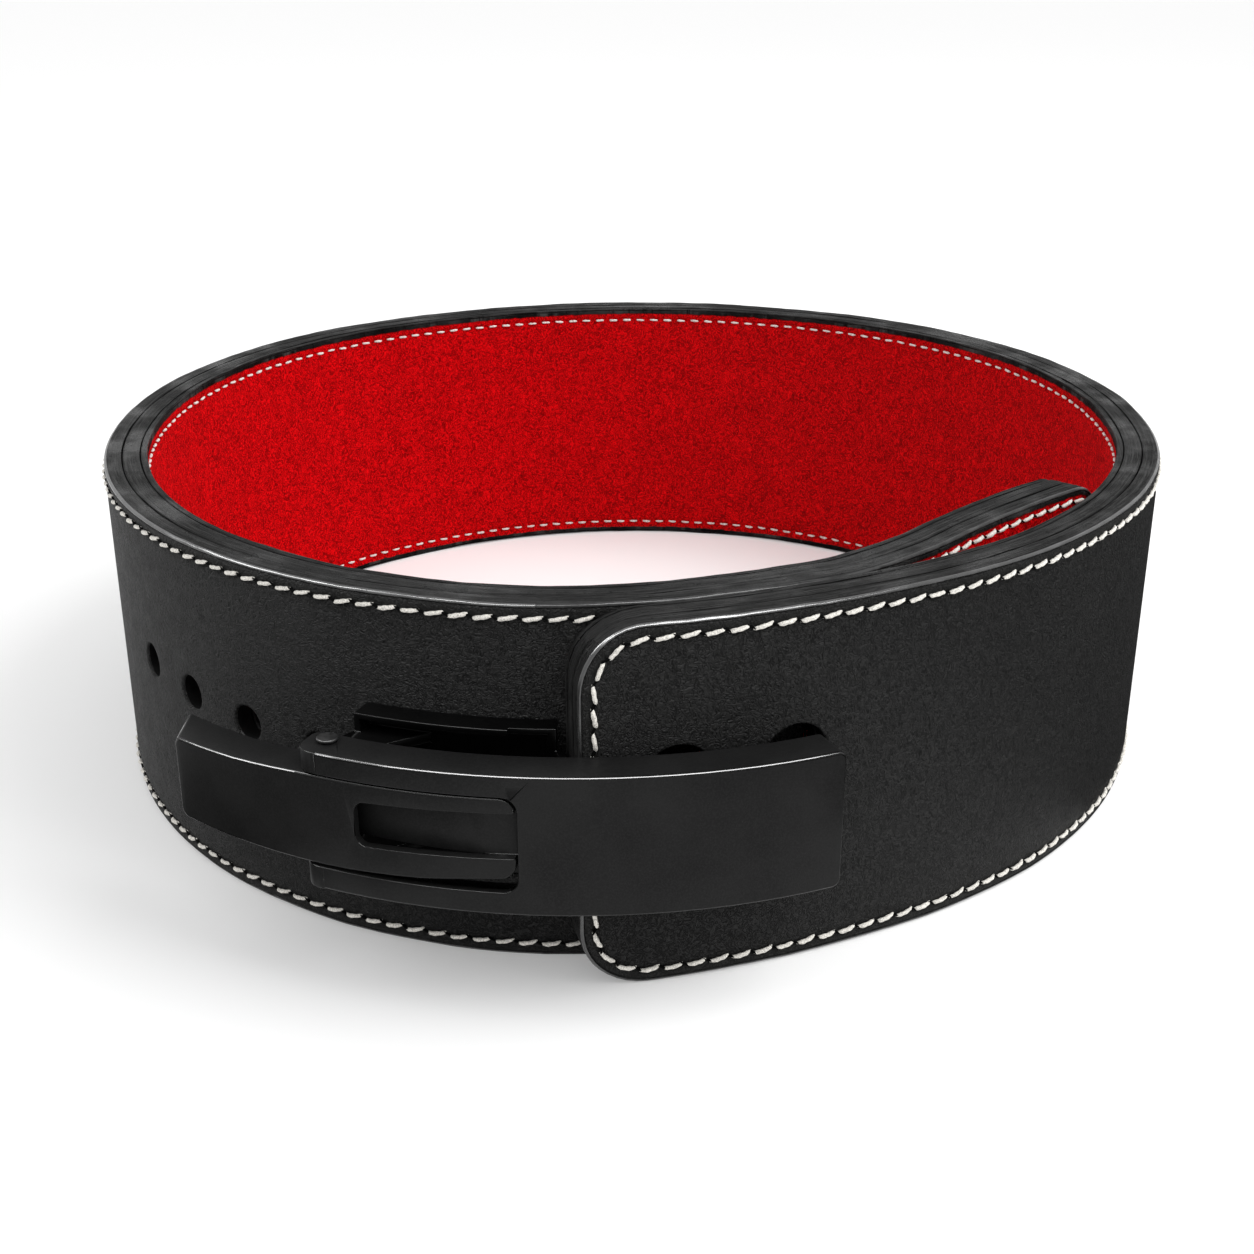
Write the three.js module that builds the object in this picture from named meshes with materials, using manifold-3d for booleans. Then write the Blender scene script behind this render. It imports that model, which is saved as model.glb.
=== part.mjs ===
import * as THREE from "three";
import { mergeVertices } from "three/addons/utils/BufferGeometryUtils.js";
import Module from "manifold-3d";

const wasm = await Module();
wasm.setup();

// Sizes of the belt, in millimetres
const BELT_HEIGHT = 100;
const OUTER_PLY = 5.2;
const CORE_PLY = 5.2;
const LINING_PLY = 2;
const PLY_GAP = 0.3;
const BELT_THICK = OUTER_PLY + PLY_GAP + CORE_PLY + PLY_GAP + LINING_PLY;
const LAP_GAP = 0.6;
const END_CORNER = 17.5;
const RIM_BEVEL = 1;
const LINING_BEVEL = 0.5;
const PLAN_REACH = 180;
const BELT_STEP = 11.5;

// Plan of the outer face: turn in degrees from the right-hand side, reach as a share of PLAN_REACH
const LOOP_ROWS = [
  { turn: -94.4, reach: 1.007 },
  { turn: -91.6, reach: 0.99 },
  { turn: -88.5, reach: 0.9795 },
  { turn: -83, reach: 0.962 },
  { turn: -76, reach: 0.943 },
  { turn: -68, reach: 0.928 },
  { turn: -58, reach: 0.921 },
  { turn: -45, reach: 0.92 },
  { turn: -30, reach: 0.922 },
  { turn: -15, reach: 0.928 },
  { turn: 0, reach: 0.936 },
  { turn: 15, reach: 0.956 },
  { turn: 30, reach: 0.978 },
  { turn: 45, reach: 0.997 },
  { turn: 60, reach: 1.008 },
  { turn: 75, reach: 1.013 },
  { turn: 90, reach: 1.012 },
  { turn: 105, reach: 1.005 },
  { turn: 120, reach: 0.996 },
  { turn: 135, reach: 0.987 },
  { turn: 150, reach: 0.971 },
  { turn: 165, reach: 0.951 },
  { turn: 180, reach: 0.937 },
  { turn: 195, reach: 0.934 },
  { turn: 210, reach: 0.937 },
  { turn: 225, reach: 0.941 },
  { turn: 240, reach: 0.94 },
  { turn: 252, reach: 0.934 },
  { turn: 262, reach: 0.924 },
];

// Turns where the inner end lies against the flap's lining
const LAP_TURNS = [272, 277, 282, 287, 292];

// Plan of the loose part of the inner end
const LOOSE_ROWS = [
  { turn: 302, reach: 0.819 },
  { turn: 310, reach: 0.7945 },
  { turn: 317.5, reach: 0.79 },
  { turn: 325, reach: 0.804 },
  { turn: 331, reach: 0.829 },
  { turn: 336, reach: 0.845 },
];

// Holes in the left section: turn in degrees, height as a share of BELT_HEIGHT
const PRONG_ROWS = [
  { turn: 215, height: 0.552 },
  { turn: 223.6, height: 0.5415 },
  { turn: 232.2, height: 0.53 },
  { turn: 240.9, height: 0.519 },
  { turn: 249.6, height: 0.508 },
];
const PRONG_HOLE = 9.9;

// Holes in the flap, in the same terms
const FLAP_ROWS = [
  { turn: -86.5, height: 0.579 },
  { turn: -76.3, height: 0.589 },
];
const FLAP_HOLE = 18;
const HOLE_SIDES = 28;

// Lever, its heights set about the middle height
const LEVER_END = 294.4;
const LEVER_MIDDLE = 0.485 * BELT_HEIGHT;
const LEVER_HEIGHT = 37.8;
const LEVER_LOW = LEVER_MIDDLE - LEVER_HEIGHT / 2;
const LEVER_HIGH = LEVER_MIDDLE + LEVER_HEIGHT / 2;
const CHANNEL_DEPTH = 10.9;
const LEVER_WEB = 2;
const LEVER_WALL = 2.5;
const LEVER_CORNER = 2;
const LEVER_EDGE = 0.5;
const LOWER_ARM = 6.2;
const UPPER_ARM = 5.8;
const FORK_END = 265.1;
const FORK_LOW = LEVER_LOW + LOWER_ARM;
const FORK_HIGH = LEVER_HIGH - UPPER_ARM;
const FORK_CORNER = 4;

// Common circle of the buckle's face: its front clears the flap's tip by the channel and a gap
const FLAP_CLEARANCE = 0.4;
const FACE_RADIUS = 0.878 * PLAN_REACH;
const FACE_FRONT = LOOP_ROWS[0].reach * PLAN_REACH + CHANNEL_DEPTH + FLAP_CLEARANCE;
const FACE_CENTRE = new THREE.Vector2(-0.0805 * PLAN_REACH, FACE_RADIUS - FACE_FRONT);
const BUCKLE_STEP = 7;

// Hinge between the bracket and the lever
const HINGE_TURN = 246.4;
const HINGE_DEPTH = 7;
const HINGE_PIN = 3.6;
const HINGE_HEAD = 5.4;
const HEAD_THICK = 0.8;
const ARM_REACH = 5.6;
const ARM_CORNER = 4.8;
const PIN_GAP = 0.3;

// Link between the lever and the hook plate
const LINK_TURN = 255.5;
const LINK_PIN = 3.2;
const LINK_BLIND = 1.5;

// Hook plate
const HOOK_START = 229.3;
const HOOK_END = 264.9;
const HOOK_LOW = FORK_LOW + 0.7;
const HOOK_HIGH = FORK_HIGH - 0.3;
const HOOK_EDGE = 0.45;
const HOOK_WEB = 2.5;
const HOOK_WALL = 2.2;
const HOOK_CORNER = 4;
const HOOK_START_CORNER = 2;
const HOOK_LEAN = 0.88;
const HOOK_LEAN_REACH = 22;
const HOOK_TONGUE_END = 267.2;
const HOOK_TONGUE_START = 262;
const HOOK_TONGUE_TOP = 2.3;

// Heights on the hook plate as shares of its own height
const HOOK_HIGH_ROWS = [
  { turn: 228, rise: 0.915 },
  { turn: 237, rise: 0.948 },
  { turn: 244, rise: 0.992 },
  { turn: 248, rise: 1 },
];
const HOOK_LOW_ROWS = [
  { turn: 228, rise: 0 },
  { turn: 248, rise: 0 },
  { turn: 256, rise: 0.038 },
  { turn: 262, rise: 0.105 },
  { turn: 268, rise: 0.139 },
];
const WINDOW_ROWS = [
  { turn: 250.2, low: 0.307, high: 0.794 },
  { turn: 266, low: 0.357, high: 0.849 },
];
const WINDOW_CORNER = 3;

// The ramp under the window, sunk below the face by shares of the channel's depth
const RAMP_ROWS = [
  { turn: 248.5, sink: 0.61 },
  { turn: 262, sink: 0.24 },
  { turn: 265, sink: 0.23 },
];
const RAMP_THICK = 1.6;
const RAMP_MARGIN = 0.5;
const STUD = 6;
const STUD_ROW = PRONG_ROWS[3];
const STUD_IN_LEATHER = 7;
const STUD_SIDES = 20;

// Bracket
const TRAY_FLOOR = 2;
const TRAY_WALL = 1.6;
const TRAY_MARGIN = 2;
const TRAY_LOW = LEVER_LOW - TRAY_MARGIN;
const TRAY_HIGH = LEVER_HIGH + TRAY_MARGIN;
const TRAY_DEPTH = 7;
const TRAY_STEP_DEPTH = 5.7;
const TRAY_START_TURN = 246.4;
const TRAY_STEP_TURN = 259.5;
const MOUNT_GAP = 0.3;
const TIP_GAP = 0.6;
const RISER_THICK = 2.2;
const PLATE_THICK = 2.4;
const PLATE_MARGIN = 1.5;
const PLATE_LOW = LEVER_LOW + LEVER_WALL + PLATE_MARGIN;
const PLATE_HIGH = LEVER_HIGH - LEVER_WALL - PLATE_MARGIN;
const PLATE_LENGTH = 56;
const PLATE_CORNER = 5;
const EAR_THICK = 2.6;
const EAR_GAP = 0.5;
const EAR_ROUND = 3.7;
const EAR_FOOT_START = 1.5;
const EAR_FOOT_END = 19;

// Screws that hold the bracket to the flap, as distances from the flap's tip
const SCREW_PLACES = [12.5, 37.5];
const SCREW = 5;
const SCREW_HEAD = 9;
const SCREW_HEAD_THICK = 2;
const SCREW_DEPTH = 9.6;
const SCREW_DROP = 5.5;
const SCREW_HEIGHT = LEVER_MIDDLE - SCREW_DROP;
const SCREW_SIDES = 20;
const HEX_KEY = 4;
const HEX_DEPTH = 1.2;

const DEG = Math.PI / 180;

// A plan curve: place(s) gives the point, the direction along and the direction out at length s
class PlanCurve {
  constructor(points) {
    this.curve = new THREE.CatmullRomCurve3(points, false, "centripetal");
    this.curve.arcLengthDivisions = 4000;
    this.length = this.curve.getLength();
    this.turns = [];
    let last = null;
    const samples = 2000;
    for (let i = 0; i <= samples; i += 1) {
      const p = this.curve.getPointAt(i / samples);
      let turn = Math.atan2(p.y, p.x) / DEG;
      if (last !== null) {
        turn += 360 * Math.round((last - turn) / 360);
      }
      last = turn;
      this.turns.push(turn);
    }
  }

  place(s) {
    const u = THREE.MathUtils.clamp(s / this.length, 0, 1);
    const point = this.curve.getPointAt(u);
    const along = this.curve.getTangentAt(u);
    const out = new THREE.Vector3(along.y, -along.x, 0);
    point.addScaledVector(along, s - u * this.length);
    return { point, along, out };
  }

  lengthAt(turn) {
    const count = this.turns.length - 1;
    for (let i = 0; i < count; i += 1) {
      if (this.turns[i] <= turn && turn <= this.turns[i + 1]) {
        const share = (turn - this.turns[i]) / (this.turns[i + 1] - this.turns[i]);
        return ((i + share) / count) * this.length;
      }
    }
    return turn < this.turns[0] ? 0 : this.length;
  }
}

// The buckle's face circle, with the same functions
const faceCircle = {
  place(s) {
    const a = s / FACE_RADIUS;
    const out = new THREE.Vector3(Math.cos(a), Math.sin(a), 0);
    const along = new THREE.Vector3(-out.y, out.x, 0);
    const centre = new THREE.Vector3(FACE_CENTRE.x, FACE_CENTRE.y, 0);
    return { point: centre.addScaledVector(out, FACE_RADIUS), along, out };
  },
  lengthAt(turn) {
    return turn * DEG * FACE_RADIUS;
  },
};

function planPoint(row) {
  const reach = row.reach * PLAN_REACH;
  return new THREE.Vector3(reach * Math.cos(row.turn * DEG), reach * Math.sin(row.turn * DEG), 0);
}

function beltCurve() {
  const loop = new PlanCurve(LOOP_ROWS.map(planPoint));
  const lapped = LAP_TURNS.map((turn) => {
    const { point, out } = loop.place(loop.lengthAt(turn - 360));
    return point.addScaledVector(out, -BELT_THICK - LAP_GAP);
  });
  return new PlanCurve([...LOOP_ROWS.map(planPoint), ...lapped, ...LOOSE_ROWS.map(planPoint)]);
}

const belt = beltCurve();

// A value read from rows of turn and value, straight between rows
function fromRows(rows, turn, column) {
  if (turn <= rows[0].turn) {
    return rows[0][column];
  }
  for (let i = 1; i < rows.length; i += 1) {
    if (turn <= rows[i].turn) {
      const share = (turn - rows[i - 1].turn) / (rows[i].turn - rows[i - 1].turn);
      return THREE.MathUtils.lerp(rows[i - 1][column], rows[i][column], share);
    }
  }
  return rows[rows.length - 1][column];
}

function signedVolume(position, index) {
  const a = new THREE.Vector3();
  const b = new THREE.Vector3();
  const c = new THREE.Vector3();
  let sum = 0;
  for (let i = 0; i < index.length; i += 3) {
    a.fromArray(position, index[i] * 3);
    b.fromArray(position, index[i + 1] * 3);
    c.fromArray(position, index[i + 2] * 3);
    sum += a.dot(b.cross(c));
  }
  return sum / 6;
}

// A closed body through rings of equal point counts
function skin(rings) {
  const count = rings[0].length;
  const position = rings.flat().flatMap((p) => p.toArray());
  const index = [];
  for (let r = 0; r + 1 < rings.length; r += 1) {
    for (let k = 0; k < count; k += 1) {
      const a = r * count + k;
      const b = r * count + ((k + 1) % count);
      index.push(a, b, a + count, b, b + count, a + count);
    }
  }
  const end = (rings.length - 1) * count;
  for (let k = 1; k + 1 < count; k += 1) {
    index.push(0, k + 1, k, end, end + k, end + k + 1);
  }
  if (signedVolume(position, index) < 0) {
    for (let i = 0; i < index.length; i += 3) {
      [index[i + 1], index[i + 2]] = [index[i + 2], index[i + 1]];
    }
  }
  const geometry = new THREE.BufferGeometry();
  geometry.setAttribute("position", new THREE.Float32BufferAttribute(position, 3));
  geometry.setIndex(index);
  return geometry;
}

// Lengths where a strip gets a section, closer together in rounded corners
function sectionMarks(from, to, step, startCorner, endCorner) {
  const cornerParts = 6;
  const marks = [];
  for (let k = 0; startCorner > 0 && k < cornerParts; k += 1) {
    marks.push(from + startCorner * (1 - Math.cos((k / cornerParts) * (Math.PI / 2))));
  }
  const first = from + startCorner;
  const last = to - endCorner;
  const parts = Math.max(1, Math.ceil((last - first) / step));
  for (let k = 0; k <= parts; k += 1) {
    marks.push(THREE.MathUtils.lerp(first, last, k / parts));
  }
  for (let k = cornerParts - 1; endCorner > 0 && k >= 0; k -= 1) {
    marks.push(to - endCorner * (1 - Math.cos((k / cornerParts) * (Math.PI / 2))));
  }
  return marks;
}

// How far a rounded end has drawn in at a distance from that end
function drawIn(distance, corner) {
  if (corner <= 0 || distance >= corner) {
    return 0;
  }
  const left = corner - Math.max(0, distance);
  return corner - Math.sqrt(Math.max(0, corner * corner - left * left));
}

// A plate bent along a plan curve; outer and inner are distances out from the curve.
// Where it leans, its inner side lies back along the curve by that share of its depth.
function bentPlate(options) {
  const { curve, from, to, low, high, outer, inner } = options;
  const { startCorner = 0, endCorner = 0, outerBevel = 0, innerBevel = 0 } = options;
  const { step = BUCKLE_STEP, lean = 0 } = options;
  const value = (item, s) => (typeof item === "function" ? item(s) : item);
  const rings = sectionMarks(from, to, step, startCorner, endCorner).map((s) => {
    const { point, along, out } = curve.place(s);
    const leaning = value(lean, s);
    const drawn = Math.max(drawIn(s - from, startCorner), drawIn(to - s, endCorner));
    const bottom = value(low, s) + drawn;
    const top = value(high, s) - drawn;
    const near = value(inner, s);
    const far = value(outer, s);
    const section = [];
    if (innerBevel > 0) {
      section.push([near, bottom + innerBevel], [near + innerBevel, bottom]);
    } else {
      section.push([near, bottom]);
    }
    if (outerBevel > 0) {
      section.push([far - outerBevel, bottom], [far, bottom + outerBevel]);
      section.push([far, top - outerBevel], [far - outerBevel, top]);
    } else {
      section.push([far, bottom], [far, top]);
    }
    if (innerBevel > 0) {
      section.push([near + innerBevel, top], [near, top - innerBevel]);
    } else {
      section.push([near, top]);
    }
    return section.map(([reach, height]) => {
      const p = point.clone().addScaledVector(out, reach).addScaledVector(along, leaning * reach);
      p.z = height;
      return p;
    });
  });
  return solid(skin(rings));
}

// A solid from a geometry
function solid(geometry) {
  let clean = geometry;
  clean.deleteAttribute("normal");
  clean.deleteAttribute("uv");
  clean = mergeVertices(clean, 1e-4);
  return new wasm.Manifold(
    new wasm.Mesh({
      numProp: 3,
      vertProperties: new Float32Array(clean.attributes.position.array),
      triVerts: new Uint32Array(clean.index.array),
    }),
  );
}

function geometryOf(body) {
  const mesh = body.getMesh();
  const geometry = new THREE.BufferGeometry();
  geometry.setAttribute("position", new THREE.Float32BufferAttribute(mesh.vertProperties, 3));
  geometry.setIndex([...mesh.triVerts]);
  geometry.computeVertexNormals();
  return geometry;
}

// A round bar that points out from a plan curve, between two distances from it
function bar(curve, s, height, width, inner, outer, sides) {
  const { point, out } = curve.place(s);
  const length = outer - inner;
  const geometry = new THREE.CylinderGeometry(width / 2, width / 2, length, sides);
  const turn = new THREE.Quaternion().setFromUnitVectors(new THREE.Vector3(0, 1, 0), out);
  const middle = point.clone().addScaledVector(out, inner + length / 2);
  middle.z = height;
  geometry.applyMatrix4(new THREE.Matrix4().compose(middle, turn, new THREE.Vector3(1, 1, 1)));
  return solid(geometry);
}

// An upright round bar
function upright(point, width, low, high, sides = STUD_SIDES) {
  const geometry = new THREE.CylinderGeometry(width / 2, width / 2, high - low, sides);
  geometry.rotateX(Math.PI / 2);
  geometry.translate(point.x, point.y, (low + high) / 2);
  return solid(geometry);
}

// A flat outline in plan, raised between two heights
function raised(shape, low, high) {
  const geometry = new THREE.ExtrudeGeometry(shape, {
    depth: high - low,
    bevelEnabled: false,
    curveSegments: 8,
  });
  geometry.translate(0, 0, low);
  return solid(geometry);
}

function union(bodies) {
  return bodies.reduce((sum, body) => sum.add(body));
}

// Belt plies
const pliesOut = [
  { name: "outer_leather", outer: 0, inner: -OUTER_PLY, outerBevel: RIM_BEVEL, innerBevel: 0 },
  {
    name: "core_leather",
    outer: -OUTER_PLY - PLY_GAP,
    inner: -OUTER_PLY - PLY_GAP - CORE_PLY,
    outerBevel: 0,
    innerBevel: 0,
  },
  {
    name: "suede_lining",
    outer: -BELT_THICK + LINING_PLY,
    inner: -BELT_THICK,
    outerBevel: 0,
    innerBevel: LINING_BEVEL,
  },
];

const heightOf = (row) => row.height * BELT_HEIGHT;
const prongHoles = PRONG_ROWS.map((row) =>
  bar(belt, belt.lengthAt(row.turn), heightOf(row), PRONG_HOLE, -BELT_THICK - 2, 2, HOLE_SIDES),
);
const flapHoles = FLAP_ROWS.map((row) =>
  bar(belt, belt.lengthAt(row.turn), heightOf(row), FLAP_HOLE, -BELT_THICK - 0.3, 2, HOLE_SIDES),
);
const screwHoles = SCREW_PLACES.map((s) =>
  bar(belt, s, SCREW_HEIGHT, SCREW + 2 * PIN_GAP, -SCREW_DEPTH - PIN_GAP, 2, SCREW_SIDES),
);

function ply(row) {
  const strip = bentPlate({
    curve: belt,
    from: 0,
    to: belt.length,
    low: 0,
    high: BELT_HEIGHT,
    outer: row.outer,
    inner: row.inner,
    outerBevel: row.outerBevel,
    innerBevel: row.innerBevel,
    startCorner: END_CORNER,
    endCorner: END_CORNER,
    step: BELT_STEP,
  });
  return strip.subtract(union([...prongHoles, ...flapHoles, ...screwHoles]));
}

// Places of the hinge and the link, in plan
function facePlace(turn, depth) {
  const { point, out } = faceCircle.place(faceCircle.lengthAt(turn));
  return point.addScaledVector(out, -depth);
}
const hingePoint = facePlace(HINGE_TURN, HINGE_DEPTH);
const linkPoint = facePlace(LINK_TURN, HINGE_DEPTH);
const hingeS = faceCircle.lengthAt(HINGE_TURN);

// A plan outline given in distances along and out from the hinge
function atHinge(points) {
  const { along, out } = faceCircle.place(hingeS);
  return points.map(([a, o]) => new THREE.Vector2(
    hingePoint.x + along.x * a + out.x * o,
    hingePoint.y + along.y * a + out.y * o,
  ));
}

function arcPoints(cx, cy, radius, start, end, parts) {
  const points = [];
  for (let k = 0; k <= parts; k += 1) {
    const a = THREE.MathUtils.lerp(start, end, k / parts) * DEG;
    points.push([cx + radius * Math.cos(a), cy + radius * Math.sin(a)]);
  }
  return points;
}

function leverBody() {
  const backCorner = 2.6;
  const back = HINGE_DEPTH - CHANNEL_DEPTH;
  const end = raised(
    new THREE.Shape(atHinge([
      [0.6, HINGE_DEPTH],
      ...arcPoints(-ARM_REACH + ARM_CORNER, HINGE_DEPTH - ARM_CORNER, ARM_CORNER, 90, 180, 6),
      ...arcPoints(-ARM_REACH + backCorner, back + backCorner, backCorner, 180, 270, 4),
      [0.6, back],
    ])),
    LEVER_LOW,
    LEVER_HIGH,
  );
  const block = bentPlate({
    curve: faceCircle,
    from: hingeS,
    to: faceCircle.lengthAt(LEVER_END),
    low: LEVER_LOW,
    high: LEVER_HIGH,
    outer: 0,
    inner: -CHANNEL_DEPTH,
    endCorner: LEVER_CORNER,
    outerBevel: LEVER_EDGE,
  });
  const hollow = bentPlate({
    curve: faceCircle,
    from: hingeS - 2 * CHANNEL_DEPTH,
    to: faceCircle.lengthAt(LEVER_END) - LEVER_WALL,
    low: LEVER_LOW + LEVER_WALL,
    high: LEVER_HIGH - LEVER_WALL,
    outer: -LEVER_WEB,
    inner: -CHANNEL_DEPTH - 2,
  });
  const fork = bentPlate({
    curve: faceCircle,
    from: hingeS - 2 * CHANNEL_DEPTH,
    to: faceCircle.lengthAt(FORK_END),
    low: FORK_LOW,
    high: FORK_HIGH,
    outer: 2,
    inner: -CHANNEL_DEPTH - 2,
    endCorner: FORK_CORNER,
  });
  const hingeHole = upright(hingePoint, HINGE_PIN + 2 * PIN_GAP, LEVER_LOW - 1, LEVER_HIGH + 1);
  const linkHole = upright(
    linkPoint,
    LINK_PIN + 2 * PIN_GAP,
    LEVER_LOW + LEVER_WALL - LINK_BLIND - PIN_GAP,
    LEVER_HIGH - LEVER_WALL + LINK_BLIND + PIN_GAP,
  );
  return block.add(end).subtract(union([hollow, fork, hingeHole, linkHole]));
}

const faceTurn = (s) => s / FACE_RADIUS / DEG;
const onHook = (share) => THREE.MathUtils.lerp(HOOK_LOW, HOOK_HIGH, share);
const hookLow = (s) => onHook(fromRows(HOOK_LOW_ROWS, faceTurn(s), "rise"));
const hookHigh = (s) => onHook(fromRows(HOOK_HIGH_ROWS, faceTurn(s), "rise"));
const windowLow = (s) => onHook(fromRows(WINDOW_ROWS, faceTurn(s), "low"));
const windowHigh = (s) => onHook(fromRows(WINDOW_ROWS, faceTurn(s), "high"));
const rampTop = (s) => -CHANNEL_DEPTH * fromRows(RAMP_ROWS, faceTurn(s), "sink");

function hookBody() {
  const startS = faceCircle.lengthAt(HOOK_START);
  const endS = faceCircle.lengthAt(HOOK_END);
  const tongueS = faceCircle.lengthAt(HOOK_TONGUE_END);
  const lean = (s) => HOOK_LEAN * THREE.MathUtils.clamp(1 - (s - startS) / HOOK_LEAN_REACH, 0, 1);
  const block = bentPlate({
    curve: faceCircle,
    from: startS,
    to: endS,
    low: hookLow,
    high: hookHigh,
    outer: 0,
    inner: -CHANNEL_DEPTH,
    startCorner: HOOK_START_CORNER,
    endCorner: HOOK_CORNER,
    outerBevel: HOOK_EDGE,
    lean,
  });
  const hollow = bentPlate({
    curve: faceCircle,
    from: startS + HOOK_WALL,
    to: endS + 5,
    low: (s) => hookLow(s) + HOOK_WALL,
    high: (s) => hookHigh(s) - HOOK_WALL,
    outer: -HOOK_WEB,
    inner: -CHANNEL_DEPTH - 2,
    lean,
  });
  const windowCut = bentPlate({
    curve: faceCircle,
    from: faceCircle.lengthAt(WINDOW_ROWS[0].turn),
    to: endS + 2,
    low: windowLow,
    high: windowHigh,
    outer: 2,
    inner: -HOOK_WEB - 0.5,
    startCorner: WINDOW_CORNER,
  });
  const tongue = bentPlate({
    curve: faceCircle,
    from: faceCircle.lengthAt(HOOK_TONGUE_START),
    to: tongueS,
    low: (s) => hookLow(s) + 0.5,
    high: HOOK_HIGH - 0.5,
    outer: -HOOK_TONGUE_TOP,
    inner: -HOOK_TONGUE_TOP - HOOK_WALL,
    endCorner: 2,
  });
  const ramp = bentPlate({
    curve: faceCircle,
    from: faceCircle.lengthAt(RAMP_ROWS[0].turn),
    to: faceCircle.lengthAt(RAMP_ROWS[2].turn),
    low: (s) => windowLow(s) - RAMP_MARGIN,
    high: (s) => windowHigh(s) + RAMP_MARGIN,
    outer: rampTop,
    inner: (s) => rampTop(s) - RAMP_THICK,
    startCorner: 2,
    step: 4,
  });
  const linkHole = upright(
    linkPoint,
    LINK_PIN + 2 * PIN_GAP,
    hookLow(0) - 5,
    HOOK_HIGH + 5,
  );
  const studAngle = belt.place(belt.lengthAt(STUD_ROW.turn));
  const studBack = studAngle.point.clone().addScaledVector(studAngle.out, -STUD_IN_LEATHER);
  const offCentre = new THREE.Vector2(studBack.x, studBack.y).sub(FACE_CENTRE);
  const dotOut = offCentre.x * studAngle.out.x + offCentre.y * studAngle.out.y;
  const web = FACE_RADIUS - HOOK_WEB / 2;
  const studLength = -dotOut + Math.sqrt(dotOut * dotOut - offCentre.lengthSq() + web * web);
  const stud = bar(
    belt,
    belt.lengthAt(STUD_ROW.turn),
    heightOf(STUD_ROW),
    STUD,
    -STUD_IN_LEATHER,
    studLength - STUD_IN_LEATHER,
    STUD_SIDES,
  );
  return block.subtract(hollow).add(tongue).subtract(windowCut).add(ramp).subtract(linkHole).add(stud);
}

function baseBody() {
  const trayS = belt.lengthAt(TRAY_START_TURN);
  const stepS = belt.lengthAt(TRAY_STEP_TURN);
  const tip = belt.place(0);
  // The tray ends short of the flap's tip: the length whose plan place meets the tip's line
  let endS = stepS;
  const beside = (s) => belt.place(s).point.clone().sub(tip.point).dot(tip.along);
  while (beside(endS + 0.1) < -TIP_GAP - RISER_THICK) {
    endS += 0.1;
  }
  const deep = bentPlate({
    curve: belt,
    from: trayS,
    to: stepS,
    low: TRAY_LOW,
    high: TRAY_HIGH,
    outer: MOUNT_GAP + TRAY_DEPTH,
    inner: MOUNT_GAP,
    startCorner: 0,
  });
  const shallow = bentPlate({
    curve: belt,
    from: stepS - 1,
    to: endS + RISER_THICK,
    low: TRAY_LOW,
    high: TRAY_HIGH,
    outer: MOUNT_GAP + TRAY_STEP_DEPTH,
    inner: MOUNT_GAP,
  });
  const trayHollow = bentPlate({
    curve: belt,
    from: trayS + TRAY_WALL,
    to: endS,
    low: TRAY_LOW + TRAY_WALL,
    high: TRAY_HIGH - TRAY_WALL,
    outer: MOUNT_GAP + TRAY_DEPTH + 3,
    inner: MOUNT_GAP + TRAY_FLOOR,
  });
  // The riser stands beside the flap's tip and carries the plate on the flap
  const riserOut = [
    [-TIP_GAP - RISER_THICK, -BELT_THICK - LAP_GAP + 1.6],
    [-TIP_GAP, -BELT_THICK - LAP_GAP + 1.6],
    [-TIP_GAP, MOUNT_GAP],
    [1, MOUNT_GAP],
    [1, MOUNT_GAP + PLATE_THICK],
    [-TIP_GAP, MOUNT_GAP + PLATE_THICK],
    [-TIP_GAP - RISER_THICK, MOUNT_GAP],
  ].map(([a, o]) => new THREE.Vector2(
    tip.point.x + tip.along.x * a + tip.out.x * o,
    tip.point.y + tip.along.y * a + tip.out.y * o,
  ));
  const riser = raised(new THREE.Shape(riserOut), PLATE_LOW, PLATE_HIGH);
  const plate = bentPlate({
    curve: belt,
    from: 0,
    to: PLATE_LENGTH,
    low: PLATE_LOW,
    high: PLATE_HIGH,
    outer: MOUNT_GAP + PLATE_THICK,
    inner: MOUNT_GAP,
    endCorner: PLATE_CORNER,
  });
  const screwBores = SCREW_PLACES.map((s) =>
    bar(belt, s, SCREW_HEIGHT, SCREW + 2 * PIN_GAP, -2, PLATE_THICK + 2, SCREW_SIDES),
  );
  // The ears stand on the tray's floor and lean out to the hinge
  const foot = (s) => {
    const { point, out } = belt.place(trayS + s);
    return point.addScaledVector(out, MOUNT_GAP + TRAY_FLOOR / 2);
  };
  const round = atHinge(arcPoints(0, 0, EAR_ROUND, 0, 180, 10));
  const footPoints = [foot(EAR_FOOT_START), foot(EAR_FOOT_END)].map((p) => new THREE.Vector2(p.x, p.y));
  const earShape = new THREE.Shape([...round, footPoints[0], footPoints[1]]);
  const upperHigh = LEVER_HIGH - LEVER_WALL - EAR_GAP;
  const lowerLow = LEVER_LOW + LEVER_WALL + EAR_GAP;
  const ears = [
    raised(earShape, upperHigh - EAR_THICK, upperHigh),
    raised(earShape, lowerLow, lowerLow + EAR_THICK),
  ];
  const hingeBore = upright(hingePoint, HINGE_PIN + 2 * PIN_GAP, LEVER_LOW, LEVER_HIGH);
  return union([deep, shallow])
    .subtract(trayHollow)
    .add(union([riser, plate, ...ears]))
    .subtract(union([...screwBores, hingeBore]));
}

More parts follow.
